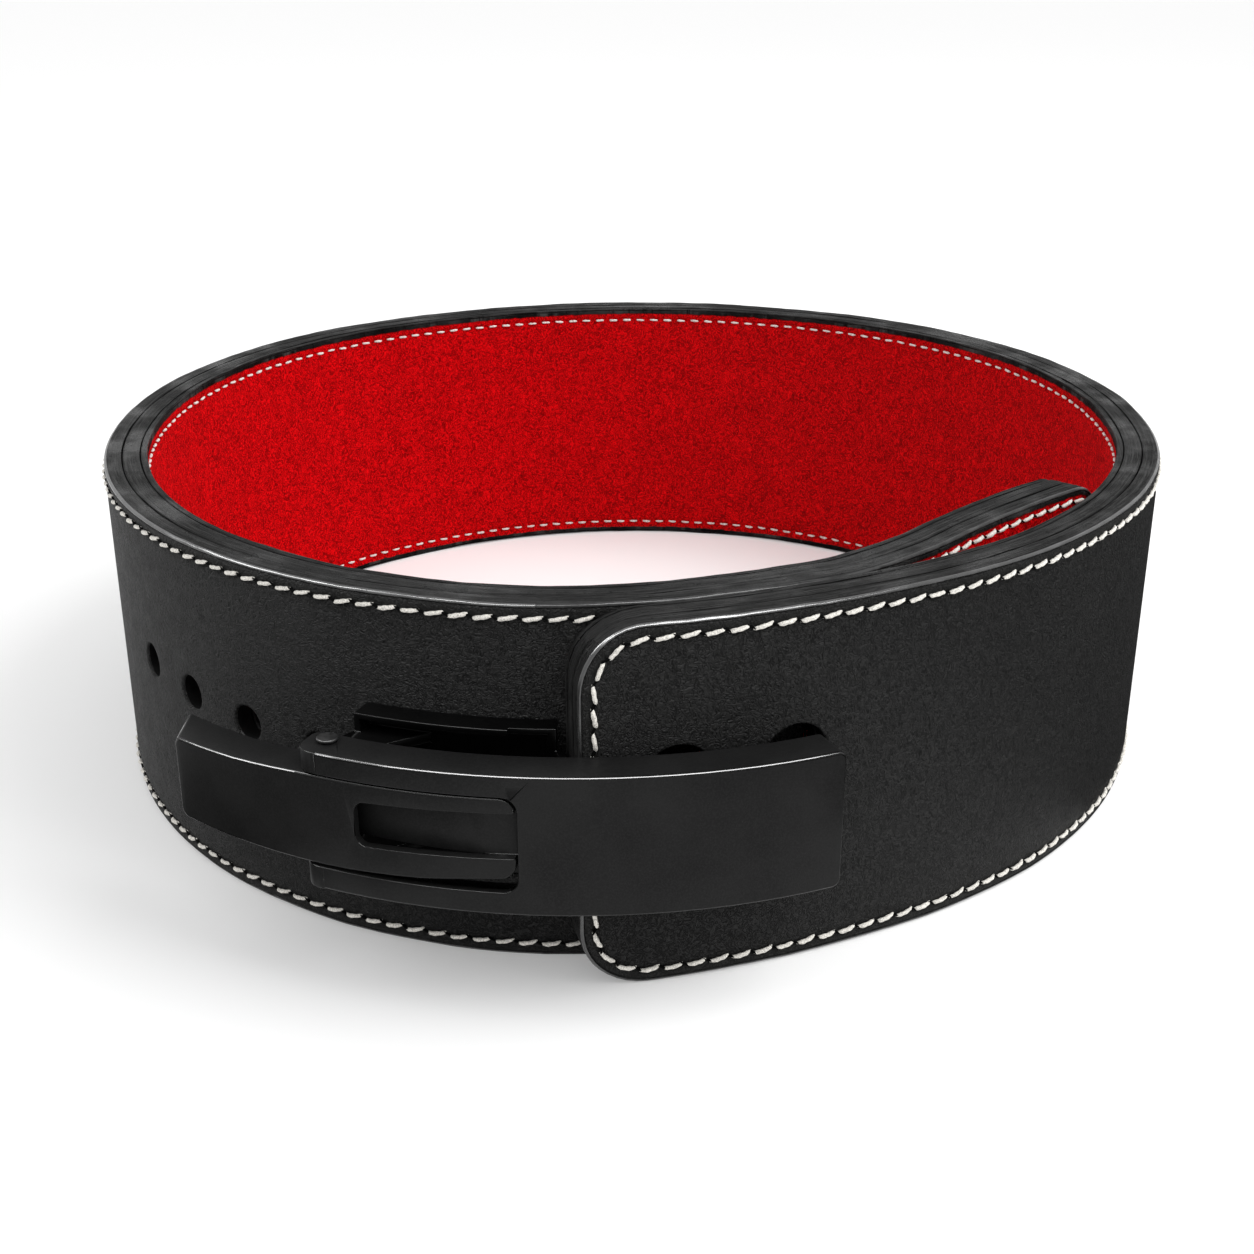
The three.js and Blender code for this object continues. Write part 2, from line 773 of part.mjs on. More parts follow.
function hingePin(isUpper) {
  const inside = LEVER_WALL + EAR_GAP + EAR_THICK;
  if (isUpper) {
    const shaft = upright(hingePoint, HINGE_PIN, LEVER_HIGH - inside, LEVER_HIGH + PIN_GAP + 0.1);
    const top = LEVER_HIGH + PIN_GAP + HEAD_THICK;
    return shaft.add(upright(hingePoint, HINGE_HEAD, LEVER_HIGH + PIN_GAP, top));
  }
  const shaft = upright(hingePoint, HINGE_PIN, LEVER_LOW - PIN_GAP - 0.1, LEVER_LOW + inside);
  const bottom = LEVER_LOW - PIN_GAP - HEAD_THICK;
  return shaft.add(upright(hingePoint, HINGE_HEAD, bottom, LEVER_LOW - PIN_GAP));
}

function linkPin(isUpper) {
  if (isUpper) {
    return upright(linkPoint, LINK_PIN, HOOK_HIGH - HOOK_WALL, LEVER_HIGH - LEVER_WALL + LINK_BLIND);
  }
  const hookBottom = hookLow(faceCircle.lengthAt(LINK_TURN));
  return upright(linkPoint, LINK_PIN, LEVER_LOW + LEVER_WALL - LINK_BLIND, hookBottom + HOOK_WALL);
}

function screwBody(s) {
  const headFrom = MOUNT_GAP + PLATE_THICK + PIN_GAP;
  const shaft = bar(belt, s, SCREW_HEIGHT, SCREW, -SCREW_DEPTH, headFrom + 0.1, SCREW_SIDES);
  const head = bar(belt, s, SCREW_HEIGHT, SCREW_HEAD, headFrom, headFrom + SCREW_HEAD_THICK, SCREW_SIDES);
  const top = headFrom + SCREW_HEAD_THICK;
  const socket = bar(belt, s, SCREW_HEIGHT, HEX_KEY, top - HEX_DEPTH, top + 1, 6);
  return shaft.add(head).subtract(socket);
}

// Surface looks
const BLACK_LEATHER = { color: 0x252525, roughness: 0.62, metalness: 0 };
const EDGE_LEATHER = { color: 0x2c2b2a, roughness: 0.5, metalness: 0 };
const RED_SUEDE = { color: 0xb8101a, roughness: 0.95, metalness: 0 };
const BLACK_METAL = { color: 0x1b1b1c, roughness: 0.38, metalness: 0.6 };
const DARK_STEEL = { color: 0x3a3a3b, roughness: 0.4, metalness: 0.9 };

const group = new THREE.Group();

function addPiece(name, body, look) {
  const mesh = new THREE.Mesh(geometryOf(body), new THREE.MeshStandardMaterial(look));
  mesh.name = name;
  group.add(mesh);
}

addPiece("outer_leather", ply(pliesOut[0]), BLACK_LEATHER);
addPiece("core_leather", ply(pliesOut[1]), EDGE_LEATHER);
addPiece("suede_lining", ply(pliesOut[2]), RED_SUEDE);
addPiece("lever_base", baseBody(), BLACK_METAL);
addPiece("base_screw_1", screwBody(SCREW_PLACES[0]), DARK_STEEL);
addPiece("base_screw_2", screwBody(SCREW_PLACES[1]), DARK_STEEL);
addPiece("lever", leverBody(), BLACK_METAL);
addPiece("hinge_pin_upper", hingePin(true), DARK_STEEL);
addPiece("hinge_pin_lower", hingePin(false), DARK_STEEL);
addPiece("hook_plate", hookBody(), BLACK_METAL);
addPiece("link_pin_upper", linkPin(true), DARK_STEEL);
addPiece("link_pin_lower", linkPin(false), DARK_STEEL);

// The object stands on its lower rim, its middle over the origin
const box = new THREE.Box3().setFromObject(group);
const middle = box.getCenter(new THREE.Vector3());
group.position.set(-middle.x, -middle.y, -box.min.z);

export default group;
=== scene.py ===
import math

import bmesh
import bpy
import numpy as np
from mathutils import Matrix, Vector, noise


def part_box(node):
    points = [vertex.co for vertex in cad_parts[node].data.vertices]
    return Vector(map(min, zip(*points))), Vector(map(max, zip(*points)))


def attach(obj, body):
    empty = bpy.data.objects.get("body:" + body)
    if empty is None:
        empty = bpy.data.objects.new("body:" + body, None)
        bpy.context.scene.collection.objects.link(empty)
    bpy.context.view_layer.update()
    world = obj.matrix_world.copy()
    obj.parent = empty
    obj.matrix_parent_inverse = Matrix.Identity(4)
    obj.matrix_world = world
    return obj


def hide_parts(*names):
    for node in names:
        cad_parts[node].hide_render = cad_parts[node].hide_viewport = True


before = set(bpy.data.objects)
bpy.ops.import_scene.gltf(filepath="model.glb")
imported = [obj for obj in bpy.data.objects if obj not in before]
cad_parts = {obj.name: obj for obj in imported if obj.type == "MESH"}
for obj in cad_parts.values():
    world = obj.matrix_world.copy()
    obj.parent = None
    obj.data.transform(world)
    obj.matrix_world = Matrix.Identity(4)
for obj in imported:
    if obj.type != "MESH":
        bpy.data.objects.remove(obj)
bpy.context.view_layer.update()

# Sizes of the belt in millimetres, the same as the solids'
MM = 0.001
BELT_HEIGHT = 100.0
OUTER_PLY = 5.2
CORE_PLY = 5.2
LINING_PLY = 2.0
PLY_GAP = 0.3
BELT_THICK = OUTER_PLY + PLY_GAP + CORE_PLY + PLY_GAP + LINING_PLY
LAP_GAP = 0.6
END_CORNER = 17.5
PLAN_REACH = 180.0

# Plan of the outer face: turn in degrees, reach as a share of PLAN_REACH
LOOP_ROWS = [
    (-94.4, 1.007), (-91.6, 0.99), (-88.5, 0.9795), (-83, 0.962), (-76, 0.943), (-68, 0.928), (-58, 0.921),
    (-45, 0.92), (-30, 0.922), (-15, 0.928), (0, 0.936), (15, 0.956), (30, 0.978),
    (45, 0.997), (60, 1.008), (75, 1.013), (90, 1.012), (105, 1.005), (120, 0.996),
    (135, 0.987), (150, 0.971), (165, 0.951), (180, 0.937), (195, 0.934), (210, 0.937),
    (225, 0.941), (240, 0.94), (252, 0.934), (262, 0.924),
]
LAP_TURNS = [272, 277, 282, 287, 292]
LOOSE_ROWS = [(302, 0.819), (310, 0.7945), (317.5, 0.79), (325, 0.804), (331, 0.829), (336, 0.845)]

# Holes: turn, height, radius
PRONG_RADIUS = 4.95
FLAP_RADIUS = 9.0
PRONG_HOLES = [
    (215, 55.2, PRONG_RADIUS), (223.6, 54.15, PRONG_RADIUS), (232.2, 53.0, PRONG_RADIUS),
    (240.9, 51.9, PRONG_RADIUS), (249.6, 50.8, PRONG_RADIUS),
]
FLAP_HOLES = [(-86.5, 57.9, FLAP_RADIUS), (-76.3, 58.9, FLAP_RADIUS)]
HOLES = PRONG_HOLES + FLAP_HOLES
# Half the width of the square patch of mesh that each hole takes up
HOLE_REACH = {PRONG_RADIUS: 8.9, FLAP_RADIUS: 13.2}

# Stitching
STITCH_INSET = 4.1
STITCH_PITCH = 6.2
LINING_INSET = 5.2

# The outer band of each face follows the outline, and a plain grid fills the rest
BAND = 8.0
GRID_INSET = BAND + 4
BAND_INSETS = [6.8, 5.9, 5.3, 4.9, 4.6, 4.35, 4.1, 3.85, 3.5, 2.9, 2.2]
BEAD_SHARES = [1.0, 0.8, 0.6, 0.42, 0.26, 0.12, 0.03]
# Rows of the rim's wall and of the back's rounded edge
WALL_SHARES = [0.0, 0.3, 0.5, 0.7, 1.0]
BACK_SHARES = [0.1, 0.35, 1.0]
# Crease behind the bead: inset past the bead, depth
CREASE_ROWS = [(0.75, 0.0), (0.5, 0.12), (0.3, 0.42), (0.12, 0.3)]
# Rows round a hole: shares of the way from its collar to the patch's border
HOLE_SHARES = [0.5, 0.15]
HOLE_COLLAR = 1.2
# Hole edge: distance out from the wall, depth
HOLE_LIP = [(1.0, 0.0), (0.45, 0.1), (0.12, 0.34), (0.0, 0.8)]
TINY = 1e-6

# Uneven trimming of the rim, which fades out at RIM_REACH behind it
RIM_REACH = 2.2
TRIM_LOSS = 0.3
# Waves: noise steps per millimetre along the rim and across it, shift, height
TRIM_WAVES = [(0.035, 0.35, 0, 0.26), (0.16, 0.9, 7, 0.12), (0.02, 2.4, 3, 0.16)]

# The stitch row's groove and dents, on the face's share of the thickness, behind STITCH_ZONE
STITCH_ZONE = 2.6
FRONT_SHARE = 0.6
GROOVE_WIDTH = 1.1
DENT_ACROSS, DENT_ALONG = 0.8, 0.9

# Each stitch is a closed tube, and its measures vary by these spreads
THREAD_RINGS, THREAD_SIDES = 9, 10
SLANT_SPREAD, THICK_SPREAD, RISE_SPREAD, SHIFT_SPREAD = 0.035, 0.05, 0.08, 0.06

# Material slots of a ply's mesh
FACE_SLOT, HOLE_SLOT, EDGE_SLOT, BEAD_SLOT, FACING_SLOT, SHADED_BEAD_SLOT = range(6)

# Turns at which the bead takes a duller copy of its polish, painted shade where the strap runs in under the
# flap, and at which the loose end's red facing starts
SHADED_BEAD_TURN = 262
FACING_TURN = 297


# Plan curve

def centripetal(points, per_span=160):
    """Points along a centripetal Catmull-Rom curve through the given plan points."""
    pts = [2 * points[0] - points[1], *points, 2 * points[-1] - points[-2]]
    out = []
    for i in range(len(points) - 1):
        p0, p1, p2, p3 = pts[i:i + 4]
        d0, d1, d2 = (math.sqrt(np.linalg.norm(b - a)) for a, b in ((p0, p1), (p1, p2), (p2, p3)))
        t1 = ((p1 - p0) / d0 - (p2 - p0) / (d0 + d1) + (p2 - p1) / d1) * d1
        t2 = ((p2 - p1) / d1 - (p3 - p1) / (d1 + d2) + (p3 - p2) / d2) * d1
        t = np.linspace(0, 1, per_span, endpoint=False)[:, None]
        square = (-3 * p1 + 3 * p2 - 2 * t1 - t2) * t ** 2
        cube = (2 * p1 - 2 * p2 + t1 + t2) * t ** 3
        out.append(p1 + t1 * t + square + cube)
    out.append(points[-1][None])
    return np.concatenate(out)


class PlanCurve:
    """A plan curve in millimetres, read by length along it."""

    def __init__(self, points):
        self.points = centripetal(points)
        steps = np.linalg.norm(np.diff(self.points, axis=0), axis=1)
        self.lengths = np.concatenate([[0], np.cumsum(steps)])
        self.length = self.lengths[-1]
        self.turns = np.degrees(np.unwrap(np.arctan2(self.points[:, 1], self.points[:, 0])))
        along = np.gradient(self.points, self.lengths, axis=0)
        self.along = along / np.linalg.norm(along, axis=1)[:, None]

    def at(self, s):
        s = np.asarray(s, float)
        place = np.stack([np.interp(s, self.lengths, self.points[:, k]) for k in (0, 1)], -1)
        along = np.stack([np.interp(s, self.lengths, self.along[:, k]) for k in (0, 1)], -1)
        along /= np.linalg.norm(along, axis=-1)[..., None]
        out = np.stack([along[..., 1], -along[..., 0]], -1)
        return place, along, out

    def length_at(self, turn):
        return float(np.interp(turn, self.turns, self.lengths))


def plan_point(turn, reach):
    a = math.radians(turn)
    return PLAN_REACH * reach * np.array([math.cos(a), math.sin(a)])


loop_points = [plan_point(*row) for row in LOOP_ROWS]
loop = PlanCurve(loop_points)
lap_points = []
for lap_turn in LAP_TURNS:
    lap_place, _, lap_out = loop.at(loop.length_at(lap_turn - 360))
    lap_points.append(lap_place - lap_out * (BELT_THICK + LAP_GAP))
belt = PlanCurve(loop_points + lap_points + [plan_point(*row) for row in LOOSE_ROWS])

SHADED_BEAD_START = belt.length_at(SHADED_BEAD_TURN)
FACING_START = belt.length_at(FACING_TURN)

# The solids' frame is centred on their box, so the plan is shifted to match it
low_corner, high_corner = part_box("outer_leather")
SHIFT = np.array([
    (low_corner.x + high_corner.x) / 2 / MM - (belt.points[:, 0].min() + belt.points[:, 0].max()) / 2,
    high_corner.y / MM - belt.points[:, 1].max(),
])


def to_world(s, z, depth):
    """World points in metres from length along the belt, height and depth under the outer face."""
    place, _, out = belt.at(s)
    xy = place - out * np.asarray(depth, float)[..., None] + SHIFT
    return np.concatenate([xy, np.asarray(z, float)[..., None]], -1) * MM


def settle(mesh):
    """Turns a mesh's faces outward, shades it smooth and puts it in the scene."""
    bm = bmesh.new()
    bm.from_mesh(mesh)
    bmesh.ops.recalc_face_normals(bm, faces=bm.faces)
    bm.to_mesh(mesh)
    bm.free()
    mesh.shade_smooth()
    obj = bpy.data.objects.new(mesh.name, mesh)
    bpy.context.scene.collection.objects.link(obj)
    return obj


# Outline of the strip, flat: lengths along it and heights

def outline_low(s, inset):
    """Height of the lower outline at length s, for the outline drawn in by inset."""
    radius = END_CORNER - inset
    near = min(s, belt.length - s)
    reach = END_CORNER - near
    if reach <= 0:
        return inset
    return END_CORNER - math.sqrt(max(0.0, radius * radius - min(reach, radius) ** 2))


def columns(step):
    """Lengths of the interior's columns, which start where the outline drawn in by BAND starts."""
    radius = END_CORNER - BAND
    parts = max(6, round(radius * math.pi / 2 / step))
    corner = [BAND + radius * (1 - math.cos(math.pi / 2 * k / parts)) for k in range(parts)]
    first, last = END_CORNER, belt.length - END_CORNER
    count = round((last - first) / step)
    middle = [first + (last - first) * k / count for k in range(count + 1)]
    return corner + middle + [belt.length - c for c in reversed(corner)]


def smooth_noise(x, y, z):
    return noise.noise(Vector((x, y, z)))


def round_depth(inset, radius):
    """Depth of a rounded edge of the given radius, at an inset from the rim."""
    if inset >= radius:
        return 0.0
    return radius - math.sqrt(max(0.0, radius * radius - (radius - inset) ** 2))


class Ply:
    """One leather ply as a closed mesh: two faces, a rounded rim and round holes."""

    def __init__(self, name, face, back, step, rows, face_round, back_round, bulge, draw):
        self.name = name
        self.face, self.back = face, back
        self.inward = 1.0 if back > face else -1.0
        self.face_round, self.back_round = face_round, back_round
        self.bulge, self.draw = bulge, draw
        self.cols = columns(step)
        self.rows = rows
        self.verts = []
        self.rim = []
        self.faces = []
        self.build()

    def add(self, s, z, depth, path, inset):
        self.verts.append((s, z, depth))
        self.rim.append((path, inset))
        return len(self.verts) - 1

    def grid(self, depth):
        """The interior of one face, as rows of vertex numbers per column."""
        lows = [outline_low(s, BAND) for s in self.cols]
        table = []
        for s, low in zip(self.cols, lows):
            heights = np.linspace(low, BELT_HEIGHT - low, self.rows)
            table.append([self.add(s, z, depth, s, GRID_INSET) for z in heights])
        return table

    def ring_of(self, table):
        """Boundary of an interior, in order, with each vertex's direction out of the outline."""
        ring = []
        last = len(table) - 1
        corner_far = belt.length - END_CORNER

        def normal(s, z):
            side = -1.0 if z < BELT_HEIGHT / 2 else 1.0
            centre_z = END_CORNER if side < 0 else BELT_HEIGHT - END_CORNER
            if s < END_CORNER - TINY:
                n = np.array([s - END_CORNER, z - centre_z])
            elif s > corner_far + TINY:
                n = np.array([s - corner_far, z - centre_z])
            else:
                return np.array([0.0, side])
            if abs(z - BELT_HEIGHT / 2) < BELT_HEIGHT / 2 - END_CORNER - TINY:
                n[1] = 0.0
            return n / np.linalg.norm(n)

        for k in range(last + 1):
            ring.append(table[k][0])
        for j in range(1, self.rows):
            ring.append(table[last][j])
        for k in range(last - 1, -1, -1):
            ring.append(table[k][self.rows - 1])
        for j in range(self.rows - 2, 0, -1):
            ring.append(table[0][j])
        normals = [normal(self.verts[v][0], self.verts[v][1]) for v in ring]
        return ring, normals

    def cut_holes(self, table, depth, lip, kept):
        """Opens the round holes in one face and returns each hole's edge ring."""
        edges = []
        direction = self.inward if lip else -self.inward
        for turn, height, radius in HOLES:
            middle = belt.length_at(turn)
            reach = HOLE_REACH[radius]
            k0 = max(k for k, s in enumerate(self.cols) if s < middle - reach)
            k1 = min(k for k, s in enumerate(self.cols) if s > middle + reach)
            heights = [self.verts[v][1] for v in table[(k0 + k1) // 2]]
            j0 = max(j for j, z in enumerate(heights) if z < height - reach)
            j1 = min(j for j, z in enumerate(heights) if z > height + reach)
            for k in range(k0, k1):
                for j in range(j0, j1):
                    kept.discard((k, j))
            border = [table[k][j0] for k in range(k0, k1)]
            border += [table[k1][j] for j in range(j0, j1)]
            border += [table[k][j1] for k in range(k1, k0, -1)]
            border += [table[k0][j] for j in range(j1, j0, -1)]
            rings = [border]
            for share in HOLE_SHARES:
                rings.append([self.hole_vertex(v, middle, height, radius, share, 0.0, depth) for v in border])
            for more, sink in HOLE_LIP if lip else [(0.0, 0.0)]:
                deep = depth + direction * sink
                rings.append([self.hole_vertex(v, middle, height, radius, None, more, deep) for v in border])
            for a, b in zip(rings, rings[1:]):
                self.bridge(a, b)
            edges.append(rings[-1])
        return edges

    def hole_vertex(self, v, middle, height, radius, share, more, depth):
        """A vertex between the patch's border and the hole, by share, or a given distance off the wall."""
        s, z, _ = self.verts[v]
        ds, dz = s - middle, z - height
        far = math.hypot(ds, dz)
        new = radius + more
        if share is not None:
            new = radius + HOLE_COLLAR + (far - radius - HOLE_COLLAR) * share
        return self.add(middle + ds / far * new, height + dz / far * new, depth, middle, GRID_INSET)

    def bridge(self, a, b):
        count = len(a)
        for i in range(count):
            self.faces.append((a[i], a[(i + 1) % count], b[(i + 1) % count], b[i]))

    def fill(self, table, kept):
        for k, j in kept:
            self.faces.append((table[k][j], table[k + 1][j], table[k + 1][j + 1], table[k][j + 1]))

    def build(self):
        """Both faces, the walls of the holes between them and the rim round them."""
        front = self.grid(self.face)
        rear = self.grid(self.back)
        cells = [(k, j) for k in range(len(self.cols) - 1) for j in range(self.rows - 1)]
        kept_front, kept_rear = set(cells), set(cells)
        front_edges = self.cut_holes(front, self.face, True, kept_front)
        rear_edges = self.cut_holes(rear, self.back, False, kept_rear)
        wall_start = len(self.faces)
        for a, b in zip(front_edges, rear_edges):
            self.bridge(a, b)
        self.walls = range(wall_start, len(self.faces))
        self.fill(front, sorted(kept_front))
        self.fill(rear, sorted(kept_rear))
        self.wrap(front, rear)

    def wrap(self, front, rear):
        """Closes the ply with the outer band of both faces and the rim between them."""
        ring, normals = self.ring_of(front)
        rear_ring, _ = self.ring_of(rear)
        base = [np.array(self.verts[v][:2]) for v in ring]
        track = [b + n * (BAND - STITCH_INSET) for b, n in zip(base, normals)]
        steps = [float(np.linalg.norm(track[(i + 1) % len(track)] - track[i])) for i in range(len(track))]
        path = [0.0]
        for step in steps[:-1]:
            path.append(path[-1] + step)
        self.path_length = path[-1] + steps[-1]
        self.track, self.track_path = track, path
        for along, v, rear_v in zip(path, ring, rear_ring):
            self.rim[v] = self.rim[rear_v] = (along, BAND)
        thick = abs(self.back - self.face)
        r0, r1 = self.face_round, self.back_round
        levels = [(inset, 0.0) for inset in BAND_INSETS]
        levels += [(r0 + inset, deep) for inset, deep in CREASE_ROWS]
        levels += [(r0 * share, round_depth(r0 * share, r0)) for share in BEAD_SHARES]
        levels += [(0.0, r0 + (thick - r0 - r1) * share) for share in WALL_SHARES]
        levels += [(r1 * share, thick - round_depth(r1 * share, r1)) for share in BACK_SHARES]
        levels += [(BAND / 2, thick)]
        rings = [ring]
        for inset, deep in levels:
            rings.append([self.rim_vertex(b, n, inset, deep, along, thick)
                          for b, n, along in zip(base, normals, path)])
        rings.append(rear_ring)
        crease_end = len(BAND_INSETS) + len(CREASE_ROWS)
        bead_end = crease_end + len(BEAD_SHARES)
        self.rim_faces, self.bead_faces = [], []
        for k, (a, b) in enumerate(zip(rings, rings[1:])):
            start = len(self.faces)
            self.bridge(a, b)
            if crease_end < k <= bead_end:
                self.bead_faces += range(start, len(self.faces))
            elif bead_end < k < len(rings) - 3:
                self.rim_faces += range(start, len(self.faces))

    def rim_vertex(self, base, normal, inset, deep, path, thick):
        """A vertex of the band or the rim, moved in or out a little by uneven trimming."""
        edge = max(0.0, 1 - inset / RIM_REACH)
        swell = self.bulge * math.sin(math.pi * min(1.0, max(0.0, deep / thick))) * edge
        wave = 0.0
        for along, across, shift, height in TRIM_WAVES:
            wave += smooth_noise(path * along, deep * across, self.face + shift) * height
        out = BAND - inset - self.draw * edge + swell + wave * edge - TRIM_LOSS * edge
        s, z = base + normal * out
        sink = 0.0
        if deep < FRONT_SHARE * thick and inset > STITCH_ZONE:
            sink = self.stitch_sink(inset, path)
        return self.add(s, z, self.face + self.inward * (deep + sink), path, inset)

    def stitch_sink(self, inset, path):
        """How far the stitch row draws the face in; a plain ply has none."""
        return 0.0

    def make(self, material):
        """The ply as an object, with its two maps and its material slots."""
        mesh = bpy.data.meshes.new(self.name)
        flat = np.array(self.verts, float)
        world = to_world(flat[:, 0], flat[:, 1], flat[:, 2])
        mesh.from_pydata([tuple(p) for p in world], [], self.faces)
        rim = np.array(self.rim)
        wall = np.stack([rim[:, 0], flat[:, 2]], -1)
        loops = np.zeros(len(mesh.loops), np.int32)
        mesh.loops.foreach_get("vertex_index", loops)
        for name, table in (("rim", rim), ("wall", wall)):
            layer = mesh.uv_layers.new(name=name)
            layer.data.foreach_set("uv", (table[loops] * MM).ravel())
        obj = settle(mesh)
        outermost = self.face == 0
        looks = [material, HOLE, EDGE, BEAD if outermost else EDGE]
        if outermost:
            looks += [SUEDE, SHADED_BEAD]
        for look in looks:
            mesh.materials.append(look)
        marked = {HOLE_SLOT: self.walls, EDGE_SLOT: self.rim_faces, BEAD_SLOT: self.bead_faces}
        for slot, numbers in marked.items():
            for number in numbers:
                mesh.polygons[number].material_index = slot
        if outermost:
            for polygon in mesh.polygons:
                along = max(flat[number, 0] for number in polygon.vertices)
                # Further along, the bead takes its duller copy: painted shade where the strap runs in under
                # the flap
                if polygon.material_index == BEAD_SLOT and along > SHADED_BEAD_START:
                    polygon.material_index = SHADED_BEAD_SLOT
                if polygon.material_index == FACE_SLOT and along > FACING_START:
                    polygon.material_index = FACING_SLOT
        return obj


class StitchedPly(Ply):
    """A ply whose visible face carries a stitch row."""

    def __init__(self, name, inset, groove, dent, **sizes):
        self.inset, self.groove, self.dent = inset, groove, dent
        super().__init__(name, **sizes)

    def stitch_sink(self, inset, path):
        count = round(self.path_length / STITCH_PITCH)
        pitch = self.path_length / count
        off = abs((path + pitch / 2) % pitch - pitch / 2)
        across = inset - self.inset
        sink = self.groove * math.exp(-((across / GROOVE_WIDTH) ** 2))
        return sink + self.dent * math.exp(-((across / DENT_ACROSS) ** 2) - (off / DENT_ALONG) ** 2)


# Thread

def track_point(ply, distance, inset):
    """Length and height of a point on the stitch track, and the direction into the strip there."""
    count = len(ply.track)
    distance %= ply.path_length
    i = int(np.searchsorted(ply.track_path, distance, side="right")) - 1
    a, b = ply.track[i], ply.track[(i + 1) % count]
    span = np.linalg.norm(b - a)
    share = (distance - ply.track_path[i]) / max(span, 1e-9)
    point = a + (b - a) * share
    along = (b - a) / max(span, 1e-9)
    # The track keeps the outline on its right, so its left hand points into the strip
    inner = np.array([-along[1], along[0]])
    return point + inner * (inset - STITCH_INSET), inner


def tube_faces(first):
    """Faces of one stitch, whose points start at number first."""
    faces = []
    for r in range(THREAD_RINGS - 1):
        row = first + r * THREAD_SIDES
        for j in range(THREAD_SIDES):
            a0, a1 = row + j, row + (j + 1) % THREAD_SIDES
            faces.append((a0, a1, a1 + THREAD_SIDES, a0 + THREAD_SIDES))
    faces.append(tuple(first + j for j in reversed(range(THREAD_SIDES))))
    end = first + (THREAD_RINGS - 1) * THREAD_SIDES
    faces.append(tuple(end + j for j in range(THREAD_SIDES)))
    return faces


def thread_row(name, ply, inset, reach, radius, lift, slant, material, seed, offset):
    """A row of short twisted stitches along the strip's outline, or of dark tubes of painted shade for the
    awl slits between them.
    """
    rng = np.random.default_rng(seed)
    count = round(ply.path_length / STITCH_PITCH)
    pitch = ply.path_length / count
    points, faces = [], []
    for k in range(count):
        start = k * pitch + (pitch - reach) / 2 + offset * pitch
        tilt = slant + rng.normal(0, SLANT_SPREAD)
        thick = radius * (1 + rng.normal(0, THICK_SPREAD))
        rise = lift * (1 + rng.normal(0, RISE_SPREAD))
        twist = rng.uniform(0, math.pi)
        shift = rng.normal(0, SHIFT_SPREAD)
        faces += tube_faces(len(points))
        for r in range(THREAD_RINGS):
            t = r / (THREAD_RINGS - 1)
            u = t * 2 - 1
            bend = 0.1 * radius * (1 - u * u)
            centre, inner = track_point(ply, start + t * reach, inset + shift + tilt * u * reach / 2 - bend)
            height = rise * (1 - abs(u) ** 2.6 * 1.9)
            width = thick * (1 - 0.45 * abs(u) ** 4)
            for j in range(THREAD_SIDES):
                a = 2 * math.pi * j / THREAD_SIDES
                lobe = 1 + 0.13 * math.cos(2 * (a - twist - t * reach * 1.5))
                across = math.cos(a) * width * lobe
                up = math.sin(a) * width * lobe + height
                p = centre + inner * across
                points.append((p[0], p[1], ply.face - ply.inward * up))
    flat = np.array(points)
    world = to_world(flat[:, 0], flat[:, 1], flat[:, 2])
    mesh = bpy.data.meshes.new(name)
    mesh.from_pydata([tuple(p) for p in world], [], faces)
    mesh.materials.append(material)
    return settle(mesh)


# Materials

def grey(level):
    return (level, level, level)


